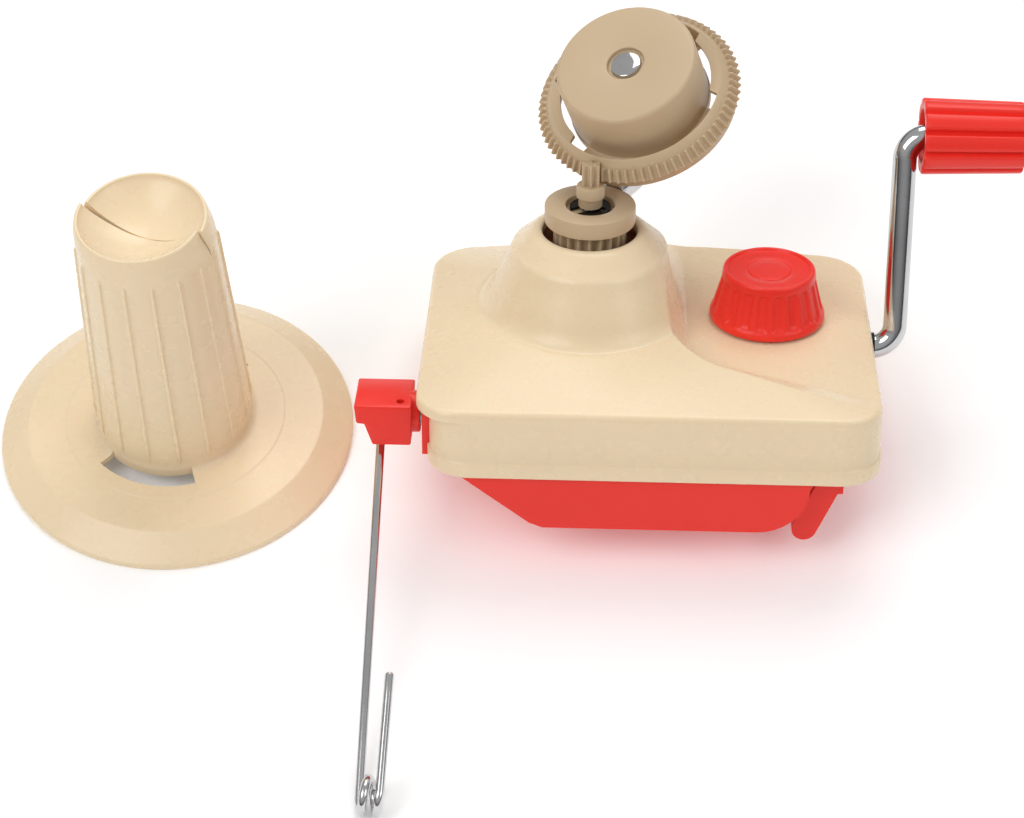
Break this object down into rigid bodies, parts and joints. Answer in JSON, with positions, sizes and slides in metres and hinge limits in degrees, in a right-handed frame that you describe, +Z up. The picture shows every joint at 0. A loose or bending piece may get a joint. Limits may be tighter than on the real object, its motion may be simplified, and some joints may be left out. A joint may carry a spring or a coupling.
{
  "type": "yarn ball winder",
  "caption": "Hand-cranked yarn ball winder with a tilted geared wheel, clamp knob and jaw, swinging wire guide and a lift-off winding cone standing beside it.",
  "frame": {"origin": "point on the table where the base tub rests, straight under the foot of the rotor shaft at the level of the cover lip", "axes": "+X to the crank, +Y to the rear, +Z up from the table; the winder itself leans back 18.3 degrees about X"},
  "size_m": [0.3112, 0.2357, 0.1098],
  "materials": {
    "cream_plastic": "smooth moulded",
    "red_plastic": "smooth moulded",
    "taupe_plastic": "satin moulded",
    "ivory_plastic": "satin moulded",
    "chrome_steel": "bright plated",
    "zinc_steel": "zinc plated",
    "black_steel": "black oxide"
  },
  "bodies": {
    "housing": {"cover": "cream_plastic", "base_housing": "red_plastic", "cover_screws": "zinc_steel", "fixed_shaft": "zinc_steel", "rotor_washer": "zinc_steel", "e_clip": "black_steel", "top_pinion": "taupe_plastic", "crank_bush": "black_steel", "guide_pin": "zinc_steel"},
    "crank": {"crank_rod": "chrome_steel", "drive_gear": "ivory_plastic", "gear_pin": "zinc_steel", "crank_collar": "zinc_steel", "grip_cap": "zinc_steel"},
    "grip": {"crank_grip": "red_plastic"},
    "rotor": {"rotor": "taupe_plastic", "spindle_arm": "chrome_steel", "wheel_washer": "black_steel"},
    "winding_wheel": {"wheel": "taupe_plastic"},
    "clamp_screw_body": {"clamp_knob": "red_plastic", "clamp_screw": "zinc_steel", "knob_washer": "zinc_steel"},
    "jaw": {"clamp_jaw": "red_plastic", "clamp_nut": "zinc_steel"},
    "yarn_guide": {"guide_block": "red_plastic", "guide_wire": "chrome_steel", "guide_washer": "zinc_steel"},
    "winding_cone": {"cone": "cream_plastic"}
  },
  "joints": [
    {"name": "crank_turn", "type": "hinge", "parent": "housing", "child": "crank", "pos_m": [0.05, 0.00049, 0.03152], "axis": [1, 0, 0], "continuous": true},
    {"name": "grip_spin", "type": "hinge", "parent": "crank", "child": "grip", "pos_m": [0.1132, 0.0346, 0.08768], "axis": [1, 0, 0], "continuous": true},
    {"name": "rotor_spin", "type": "hinge", "parent": "housing", "child": "rotor", "pos_m": [0, 0.01411, 0.05841], "axis": [0, 0.3135, 0.9496], "continuous": true},
    {"name": "wheel_spin", "type": "hinge", "parent": "rotor", "child": "winding_wheel", "pos_m": [0.01338, 0.04962, 0.08897], "axis": [-0.2569, -0.1742, 0.9506], "continuous": true},
    {"name": "knob_turn", "type": "hinge", "parent": "housing", "child": "clamp_screw_body", "pos_m": [0.0548, 0.00541, 0.02442], "axis": [0, 0.3135, 0.9496], "range_deg": [-162, 1971]},
    {"name": "jaw_slide", "type": "slide", "parent": "housing", "child": "jaw", "axis": [0, -0.3135, -0.9496], "range_m": [-0.0018, 0.0219]},
    {"name": "guide_swing", "type": "hinge", "parent": "housing", "child": "yarn_guide", "pos_m": [-0.055, -0.03637, 0.03948], "axis": [-1, 0, 0], "range_deg": [0, 150]},
    {"name": "cone_lift", "type": "slide", "parent": "housing", "child": "winding_cone", "axis": [0, 0, 1], "range_m": [0, 0.12]}
  ],
  "couplings": [
    {"joint": "rotor_spin", "follows": "crank_turn", "ratio": -2.2},
    {"joint": "wheel_spin", "follows": "crank_turn", "ratio": -0.17368},
    {"joint": "jaw_slide", "follows": "knob_turn", "m_per_rad": 0.00063662}
  ]
}
